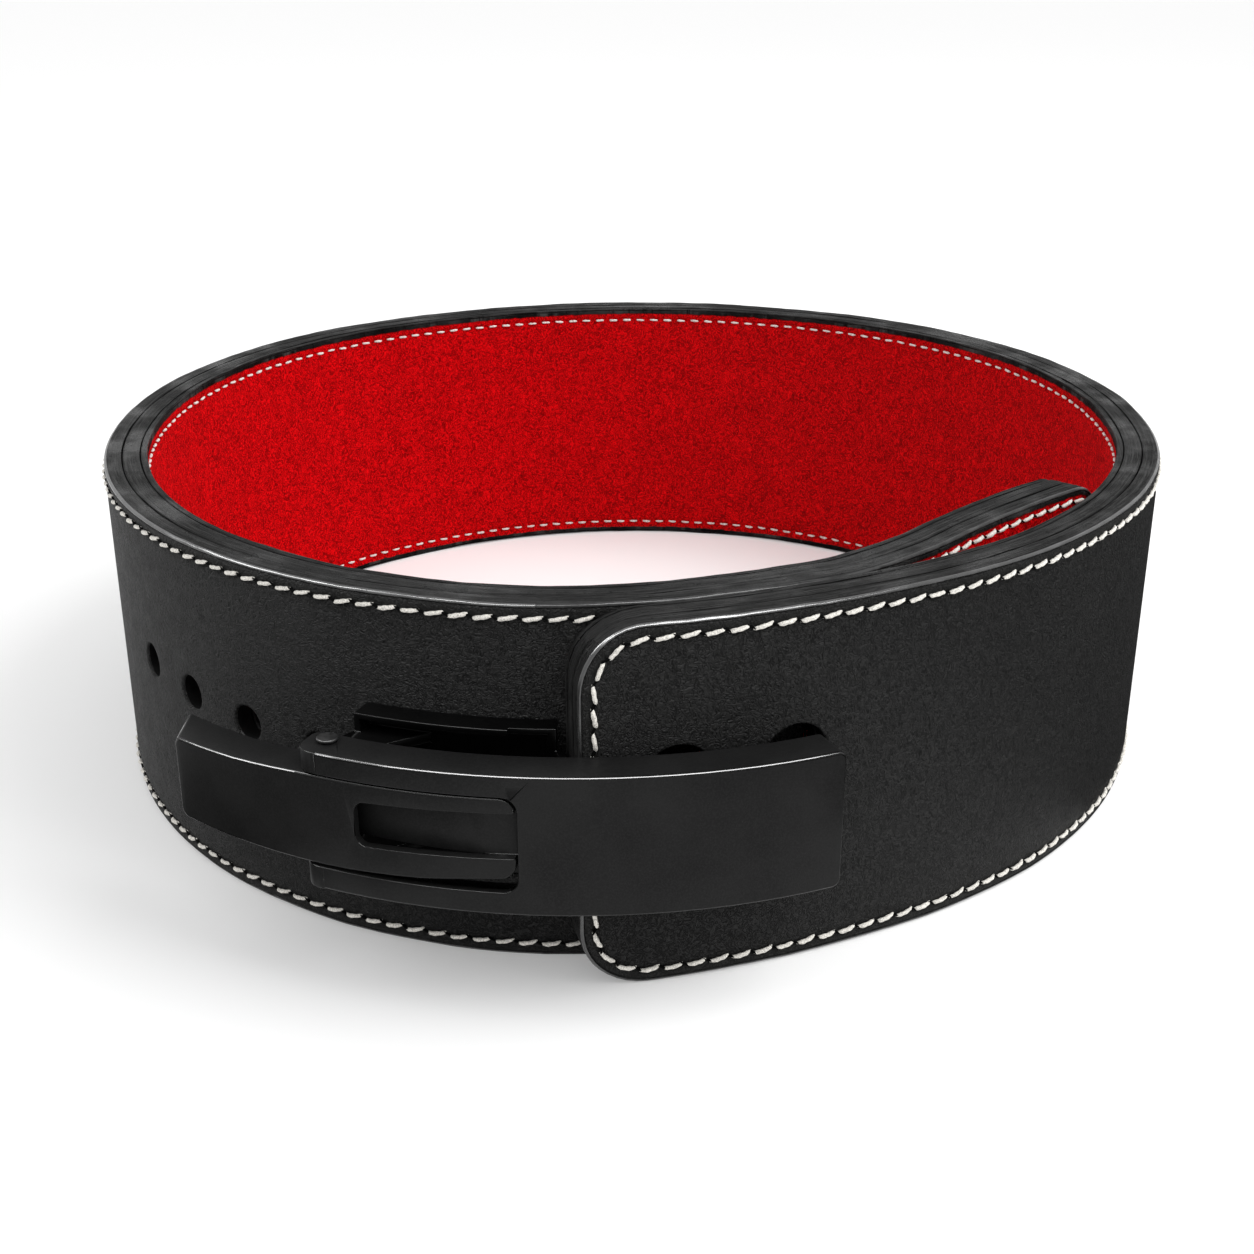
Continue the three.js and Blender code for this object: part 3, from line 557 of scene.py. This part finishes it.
class Nodes:
    """A short hand for node materials."""

    def __init__(self, name):
        self.material = bpy.data.materials.new(name)
        self.material.use_nodes = True
        self.tree = self.material.node_tree
        self.shader = self.tree.nodes["Principled BSDF"]
        self.coords = self.new("ShaderNodeTexCoord").outputs["Object"]

    def new(self, kind, **values):
        node = self.tree.nodes.new(kind)
        for key, value in values.items():
            setattr(node, key, value)
        return node

    def link(self, a, b):
        self.tree.links.new(a, b)

    def mapped(self, scale, turn=(0, 0, 0), vector=None):
        node = self.new("ShaderNodeMapping")
        node.inputs["Scale"].default_value = scale
        node.inputs["Rotation"].default_value = turn
        self.link(vector or self.coords, node.inputs["Vector"])
        return node.outputs["Vector"]

    def noise(self, scale, detail=4, rough=0.55, vector=None, distortion=0.0):
        node = self.new("ShaderNodeTexNoise")
        node.inputs["Scale"].default_value = scale
        node.inputs["Detail"].default_value = detail
        node.inputs["Roughness"].default_value = rough
        node.inputs["Distortion"].default_value = distortion
        self.link(vector or self.coords, node.inputs["Vector"])
        return node.outputs["Fac"]

    def voronoi(self, scale, feature="F1"):
        node = self.new("ShaderNodeTexVoronoi", feature=feature)
        node.inputs["Scale"].default_value = scale
        self.link(self.coords, node.inputs["Vector"])
        return node.outputs["Distance"]

    def ramp(self, value, stops):
        node = self.new("ShaderNodeValToRGB")
        elements = node.color_ramp.elements
        while len(elements) < len(stops):
            elements.new(0.5)
        for element, (place, colour) in zip(elements, stops):
            element.position = place
            element.color = (*(colour if isinstance(colour, tuple) else grey(colour)), 1)
        self.link(value, node.inputs["Fac"])
        return node.outputs["Color"]

    def mix(self, share, a, b):
        node = self.new("ShaderNodeMix", data_type="RGBA")
        self.set(node.inputs[0], share)
        self.set(node.inputs[6], a)
        self.set(node.inputs[7], b)
        return node.outputs[2]

    def math(self, operation, a, b=0.0, c=0.0):
        node = self.new("ShaderNodeMath", operation=operation)
        for socket, value in zip(node.inputs, (a, b, c)):
            self.set(socket, value)
        return node.outputs[0]

    def apart(self, a, b):
        """How far one value is from another."""
        return self.math("ABSOLUTE", self.math("SUBTRACT", a, b))

    def set(self, socket, value):
        if isinstance(value, bpy.types.NodeSocket):
            self.link(value, socket)
        elif isinstance(value, tuple):
            socket.default_value = (*value, 1)
        else:
            socket.default_value = value

    def bump(self, height, strength, distance, before=None):
        node = self.new("ShaderNodeBump")
        node.inputs["Strength"].default_value = strength
        node.inputs["Distance"].default_value = distance
        self.link(height, node.inputs["Height"])
        if before is not None:
            self.link(before, node.inputs["Normal"])
        return node.outputs["Normal"]

    def finish(self, colour, rough, normal=None, **sockets):
        self.set(self.shader.inputs["Base Color"], colour)
        self.set(self.shader.inputs["Roughness"], rough)
        if normal is not None:
            self.link(normal, self.shader.inputs["Normal"])
        for key, value in sockets.items():
            self.set(self.shader.inputs[key.replace("_", " ")], value)
        return self.material


def map_of(m, name):
    """One of the belt's maps, in metres, and its second coordinate: the inset or the depth."""
    uv = m.new("ShaderNodeUVMap", uv_map=name)
    split = m.new("ShaderNodeSeparateXYZ")
    m.link(uv.outputs["UV"], split.inputs[0])
    return uv.outputs["UV"], split.outputs[1]


def edge_paint(m):
    """Colour, roughness and height of the burnished, painted edge, with painted shade along the gaps between
    its plies.
    """
    wall, depth = map_of(m, "wall")
    wander = m.math("MULTIPLY_ADD", m.noise(70, 3), 0.0008, -0.0004)
    depth = m.math("ADD", depth, wander)
    first = m.apart(depth, (OUTER_PLY + PLY_GAP / 2) * MM)
    second = m.apart(depth, (BELT_THICK - LINING_PLY - PLY_GAP / 2) * MM)
    ply_gap_shade = m.math("MULTIPLY", m.math("MINIMUM", first, second), 1000)
    streaks = m.noise(1, 3, 0.6, m.mapped((34, 1500, 1), vector=wall))
    hairs = m.noise(1, 3, 0.7, m.mapped((110, 5200, 1), vector=wall))
    nicks = m.noise(1, 2, 0.6, m.mapped((420, 760, 1), vector=wall), 1.6)
    wide = m.noise(42, 3)
    colour = m.ramp(streaks, [(0.38, 0.002), (0.5, 0.008), (0.64, 0.026)])
    colour = m.mix(m.ramp(hairs, [(0.54, 0.0), (0.66, 0.6)]), colour, (0.07, 0.069, 0.067))
    colour = m.mix(m.ramp(nicks, [(0.32, 0.9), (0.39, 0.0)]), colour, grey(0.002))
    # Painted shade: a near-black line along each gap between the plies
    colour = m.mix(m.ramp(ply_gap_shade, [(0.3, 0.85), (0.55, 0.0)]), colour, grey(0.0008))
    rough = m.ramp(wide, [(0.36, 0.2), (0.46, 0.45), (0.6, 0.7)])
    height = m.math("ADD", m.math("MULTIPLY", streaks, 0.9), m.math("MULTIPLY", hairs, 0.35))
    dents = m.ramp(nicks, [(0.3, 0.0), (0.4, 0.6)])
    return colour, rough, m.math("ADD", height, dents)


def black_leather():
    m = Nodes("black_leather")
    _, inset = map_of(m, "rim")
    tone = m.noise(14, 3)
    grain = m.voronoi(1150, "SMOOTH_F1")
    lines = m.apart(m.noise(520, 1, 0.5, distortion=2.2), 0.5)
    creases = m.ramp(lines, [(0.0, 0.0), (0.05, 0.6), (0.13, 1.0)])
    swells = m.noise(900, 3, 0.6)
    pores = m.ramp(m.noise(1900, 2), [(0.3, 0.0), (0.5, 1.0)])
    colour = m.ramp(tone, [(0.3, (0.0105, 0.0105, 0.0107)), (0.75, (0.0142, 0.0141, 0.014))])
    # Painted shade darkens the crease lines, and a painted highlight lightens a narrow band beside them
    colour = m.mix(m.ramp(lines, [(0.0, 0.8), (0.08, 0.0)]), colour, grey(0.002))
    colour = m.mix(m.ramp(lines, [(0.07, 0.0), (0.12, 0.6), (0.18, 0.0)]), colour, (0.03, 0.03, 0.0292))
    colour = m.mix(m.ramp(m.noise(780, 2), [(0.64, 0.0), (0.74, 0.5)]), colour, (0.022, 0.022, 0.021))
    rough = m.ramp(m.noise(210, 4, 0.6), [(0.3, 0.5), (0.7, 0.6)])
    paint, paint_rough, paint_height = edge_paint(m)
    border = m.math("ADD", inset, m.math("MULTIPLY", m.noise(170, 3), 0.0004))
    share = m.ramp(m.math("MULTIPLY", border, 1000 / 3.2), [(0.36, 0.0), (0.4, 1.0)])
    margin = m.ramp(m.math("MULTIPLY", inset, 1000 / 8), [(0.49, 1.0), (0.56, 0.0)])
    colour = m.mix(m.math("MULTIPLY", margin, 0.5), colour, (0.013, 0.013, 0.0125))
    colour = m.mix(share, paint, colour)
    rough = m.mix(share, paint_rough, rough)
    relief = m.math("ADD", m.math("MULTIPLY", creases, 0.8), m.math("MULTIPLY", swells, 0.6))
    normal = m.bump(m.mix(share, paint_height, relief), 0.95, 0.0005)
    normal = m.bump(grain, 0.2, 0.0003, normal)
    normal = m.bump(pores, 0.1, 0.0002, normal)
    return m.finish(colour, rough, normal, Specular_IOR_Level=0.1)


def edge_leather(name, level):
    m = Nodes(name)
    colour, rough, height = edge_paint(m)
    return m.finish(colour, rough, m.bump(height, 0.75, 0.0006), Specular_IOR_Level=level)


def polished_edge(name, level):
    m = Nodes(name)
    wall, _ = map_of(m, "wall")
    worn = m.noise(1, 4, 0.6, m.mapped((160, 900, 1), vector=wall))
    colour = m.ramp(worn, [(0.4, 0.012), (0.7, 0.05)])
    rough = m.ramp(m.noise(60, 4), [(0.35, 0.16), (0.65, 0.34)])
    return m.finish(colour, rough, m.bump(worn, 0.12, 0.0003), Specular_IOR_Level=level)


# Near-black, almost glossless colour: painted shade for the dark inside of holes and slits
def dark_hole(name, tone):
    m = Nodes(name)
    colour = m.ramp(m.noise(500, 3), [(0.3, 0.001), (0.7, tone)])
    return m.finish(colour, 0.9, Specular_IOR_Level=0.03)


def red_suede():
    m = Nodes("red_suede")
    _, inset = map_of(m, "rim")
    middle, light = (0.52, 0.0003, 0.0015), (0.7, 0.0008, 0.0024)
    patches = m.ramp(m.noise(24, 5, 0.62), [(0.3, (0.34, 0.0002, 0.001)), (0.52, middle), (0.72, light)])
    blots = m.noise(95, 4, 0.6, distortion=0.8)
    blots = m.ramp(blots, [(0.3, (0.2, 0.0002, 0.001)), (0.5, middle), (0.7, light)])
    colour = m.mix(0.6, patches, blots)
    nap = m.noise(1, 4, 0.65, m.mapped((880, 880, 620), (0.4, 0.2, 0.7)), 1.8)
    fibres = [(0.37, (0.1, 0.0001, 0.0008)), (0.5, (0.6, 0.0003, 0.0018)), (0.62, (1.0, 0.003, 0.006))]
    colour = m.mix(0.7, colour, m.ramp(nap, fibres))
    specks = [(0.34, (0.12, 0.0002, 0.001)), (0.5, (0.52, 0.0004, 0.0018)), (0.68, (0.85, 0.003, 0.005))]
    colour = m.mix(0.3, colour, m.ramp(m.noise(2600, 3, 0.7), specks))
    curls = m.apart(m.noise(380, 1, 0.5, distortion=2.2), 0.5)
    # Painted shade darkens the curled nap lines, and a painted highlight brightens a narrow band beside them
    colour = m.mix(m.ramp(curls, [(0.0, 0.75), (0.08, 0.0)]), colour, (0.13, 0.0001, 0.0008))
    colour = m.mix(m.ramp(curls, [(0.07, 0.0), (0.12, 0.5), (0.18, 0.0)]), colour, (1.0, 0.004, 0.008))
    paint, _, paint_height = edge_paint(m)
    border = m.math("ADD", inset, m.math("MULTIPLY_ADD", m.noise(260, 4), 0.0011, -0.0009))
    share = m.ramp(m.math("MULTIPLY", border, 1000 / 4.0), [(0.5, 0.0), (0.6, 1.0)])
    colour = m.mix(share, paint, colour)
    rough = m.mix(share, grey(0.5), grey(0.96))
    curls = m.ramp(curls, [(0.0, 0.0), (0.05, 0.7), (0.16, 1.0)])
    normal = m.bump(m.mix(share, paint_height, nap), 0.8, 0.0011)
    normal = m.bump(curls, 0.5, 0.0006, normal)
    return m.finish(colour, rough, normal, Specular_IOR_Level=0.03)


def thread_material(name, tint):
    m = Nodes(name)
    fibres = m.noise(2600, 4, 0.7)
    colour = m.ramp(fibres, [(0.36, tuple(c * 0.5 for c in tint)), (0.58, tint)])
    return m.finish(colour, 0.8, m.bump(fibres, 0.8, 0.0003), Specular_IOR_Level=0.15)


def black_metal(name, tone, level):
    m = Nodes(name)
    speck = m.noise(2200, 3, 0.6)
    cloud = m.noise(55, 3, 0.5)
    film = m.noise(2000, 2, 0.6)
    colour = m.ramp(cloud, [(0.3, (tone * 0.45, tone * 0.45, tone * 0.46)), (0.7, tone)])
    colour = m.mix(m.ramp(film, [(0.42, 0.0), (0.64, 0.4)]), colour, grey(tone * 1.6))
    rough = m.ramp(m.noise(34, 4, 0.6), [(0.3, 0.36), (0.7, 0.5)])
    dust = m.voronoi(300)
    colour = m.mix(m.ramp(dust, [(0.02, 0.35), (0.045, 0.0)]), colour, grey(0.05))
    return m.finish(colour, rough, m.bump(speck, 0.25, 0.00015), Specular_IOR_Level=level)


def metal_edge(name, level):
    m = Nodes(name)
    worn = m.noise(260, 4, 0.6)
    colour = m.ramp(worn, [(0.4, 0.001), (0.75, 0.004)])
    rough = m.ramp(m.noise(140, 3), [(0.3, 0.17), (0.7, 0.25)])
    return m.finish(colour, rough, m.bump(m.noise(1500, 2), 0.04, 0.0001), Specular_IOR_Level=level)


def dark_steel():
    m = Nodes("dark_steel")
    colour = m.ramp(m.noise(400, 4), [(0.3, 0.03), (0.7, 0.055)])
    rough = m.ramp(m.noise(800, 3), [(0.3, 0.3), (0.7, 0.45)])
    return m.finish(colour, rough, m.bump(m.noise(1500, 3), 0.2, 0.0001), Metallic=0.75)


LEATHER = black_leather()
EDGE = edge_leather("painted_edge", 0.055)
BEAD = polished_edge("polished_edge", 0.9)
# A duller copy of the polished bead: painted shade for the strap under the flap
SHADED_BEAD = polished_edge("shaded_bead_edge", 0.22)
# Hole walls: partly their black edge paint, partly painted shade for the dark inside of the holes
HOLE = dark_hole("hole_wall_shade", 0.004)
# Awl slits: near-black marks of painted shade in the holes between the stitches
AWL_SHADE = dark_hole("awl_hole_shade", 0.002)
SUEDE = red_suede()
THREAD = thread_material("cream_thread", (0.86, 0.83, 0.77))
LINING_THREAD = thread_material("white_thread", (0.84, 0.78, 0.75))
METAL = black_metal("black_metal", 0.0095, 0.11)
# A darker, less glossy copy of the black metal: painted shade for the tray, which lies in the lever's shade
SHADED_BASE_METAL = black_metal("shaded_base_metal", 0.0015, 0.05)
METAL_EDGE = metal_edge("metal_bright_edge", 0.8)
METAL_BEVEL = metal_edge("metal_soft_edge", 0.2)
STEEL = dark_steel()

# Belt
outer = StitchedPly(
    "outer_leather_skin", face=0.0, back=OUTER_PLY, step=1.55, rows=20,
    face_round=0.8, back_round=0.2, bulge=0.08, draw=0.0,
    inset=STITCH_INSET, groove=0.3, dent=0.45,
)
outer_obj = outer.make(LEATHER)
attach(outer_obj, "belt")
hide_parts("outer_leather")

core_face = OUTER_PLY + PLY_GAP
core = Ply(
    "core_leather_skin", face=core_face, back=core_face + CORE_PLY, step=2.4, rows=14,
    face_round=0.2, back_round=0.2, bulge=0.08, draw=0.05,
)
core_obj = core.make(EDGE)
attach(core_obj, "belt")
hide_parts("core_leather")

lining = StitchedPly(
    "suede_lining_skin", face=BELT_THICK, back=BELT_THICK - LINING_PLY, step=1.55, rows=20,
    face_round=0.5, back_round=0.2, bulge=0.05, draw=0.1,
    inset=LINING_INSET, groove=0.35, dent=0.5,
)
lining_obj = lining.make(SUEDE)
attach(lining_obj, "belt")
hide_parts("suede_lining")

# Thread: name, ply, inset, length, radius, lift, slant, material, seed, start as a share of the pitch
THREAD_ROWS = [
    ("stitches_outer", outer, STITCH_INSET, 5.2, 0.57, 0.32, 0.17, THREAD, 11, 0.0),
    ("slit_shade_outer", outer, STITCH_INSET, 2.3, 0.34, -0.1, -0.55, AWL_SHADE, 21, 0.5),
    ("stitches_lining", lining, LINING_INSET, 3.5, 0.42, 0.14, 0.03, LINING_THREAD, 12, 0.0),
]
for row in THREAD_ROWS:
    stitches = thread_row(*row)
    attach(stitches, "belt")

# Metal pieces keep their solids, with softened edges: bevel width in millimetres, material
BEVEL_SLOT, CHAMFER_SLOT = 1, 2
SHARP_ANGLE = math.radians(28)
WELD_REACH = 0.02
# The lever's and the hook's upward chamfers, by the height of their normals, take the glossier, lit copy of
# the edge material, which paints a highlight line along their tops
CHAMFER_RISE = (0.6, 0.8)
METAL_PIECES = {
    "lever": (0.25, METAL), "hook_plate": (0.22, METAL), "lever_base": (0.22, SHADED_BASE_METAL),
    "hinge_pin_upper": (0.3, STEEL), "hinge_pin_lower": (0.3, STEEL),
    "link_pin_upper": (0.15, STEEL), "link_pin_lower": (0.15, STEEL),
    "base_screw_1": (0.25, STEEL), "base_screw_2": (0.25, STEEL),
}
LEVER_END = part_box("lever")[0].x
for node, (width, material) in METAL_PIECES.items():
    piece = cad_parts[node]
    piece.data.materials.clear()
    piece.data.materials.append(material)
    piece.data.materials.append(STEEL if material is STEEL else METAL_BEVEL)
    piece.data.materials.append(METAL_EDGE)
    weld = piece.modifiers.new("weld", "WELD")
    weld.merge_threshold = WELD_REACH * MM
    bevel = piece.modifiers.new("edges", "BEVEL")
    bevel.width = width * MM
    bevel.segments = 3
    bevel.limit_method = "ANGLE"
    bevel.angle_limit = SHARP_ANGLE
    bevel.harden_normals = True
    bevel.use_clamp_overlap = False
    bevel.material = BEVEL_SLOT
    if node in ("lever", "hook_plate"):
        for polygon in piece.data.polygons:
            # The hook's chamfers under the lever keep the duller copy: painted shade
            covered = node == "hook_plate" and (piece.matrix_world @ polygon.center).x > LEVER_END
            if CHAMFER_RISE[0] < polygon.normal.z < CHAMFER_RISE[1] and not covered:
                polygon.material_index = CHAMFER_SLOT
    piece.data.shade_smooth()

# Floor, light and camera
bpy.ops.mesh.primitive_plane_add(size=80, location=(0, 0, 0))
floor = bpy.context.object
floor.name = "floor"
floor.data.materials.append(Nodes("floor_white").finish(
    grey(0.75), 0.9, Specular_IOR_Level=0.1, Emission_Color=grey(1.0), Emission_Strength=0.21,
))

world = bpy.data.worlds.new("studio")
bpy.context.scene.world = world
world.use_nodes = True
background = world.node_tree.nodes["Background"].inputs
background["Color"].default_value = (1, 1, 1, 1)
background["Strength"].default_value = 1.0


def soft_light(name, place, size, power, sheen_only):
    """A rectangular light aimed at the belt's middle, seen only in sheens or left out of them."""
    data = bpy.data.lights.new(name, "AREA")
    data.shape = "RECTANGLE"
    data.size, data.size_y = size
    data.energy = power
    obj = bpy.data.objects.new(name, data)
    obj.location = place
    aim = Vector((0, 0, BELT_HEIGHT / 2 * MM))
    obj.rotation_euler = (aim - Vector(place)).to_track_quat("-Z", "Y").to_euler()
    obj.visible_diffuse = not sheen_only
    obj.visible_glossy = sheen_only
    bpy.context.scene.collection.objects.link(obj)


soft_light("strip", (0.1, -0.72, 1.25), (1.9, 0.5), 60, True)
soft_light("strip_left", (-1.15, -0.06, 1.17), (0.75, 0.75), 34, True)
soft_light("key", (1.2, -0.2, 1.25), (1.4, 1.4), 24, False)

FLAG = Nodes("flag_black").finish(grey(0.02), 1.0, Specular_IOR_Level=0.0)


def black_flag(name, place, size):
    """A dark sheet on the floor that only the sheens of the belt show: a painted dark reflection where the
    white floor would be mirrored.
    """
    bpy.ops.mesh.primitive_plane_add(size=1, location=place)
    flag = bpy.context.object
    flag.name = name
    flag.scale = (*size, 1)
    flag.data.materials.append(FLAG)
    flag.visible_camera = False
    flag.visible_diffuse = False
    flag.visible_shadow = False


# The flags paint darker reflections into the belt's right side and its left front
black_flag("flag_right", (0.87, 0.1, 0.002), (1.46, 1.6))
black_flag("flag_left", (-0.37, -0.32, 0.002), (0.5, 0.4))

# The photo's camera: sensor width, focal length as a share of it, place before the plan's shift, tilt down
SENSOR = 36
FOCAL_SHARE = 1697 / 1254
CAMERA_PLACE = (-2.1, -543.0, 252.4)
CAMERA_TILT = 22.73
camera = bpy.data.objects.new("camera", bpy.data.cameras.new("camera"))
bpy.context.scene.collection.objects.link(camera)
camera.data.sensor_width = SENSOR
camera.data.lens = SENSOR * FOCAL_SHARE
camera_x, camera_y, camera_z = CAMERA_PLACE
camera.location = ((camera_x + SHIFT[0]) * MM, (camera_y + SHIFT[1]) * MM, camera_z * MM)
camera.rotation_euler = (math.radians(90 - CAMERA_TILT), 0, 0)
bpy.context.scene.camera = camera
bpy.context.scene.view_settings.view_transform = "Standard"
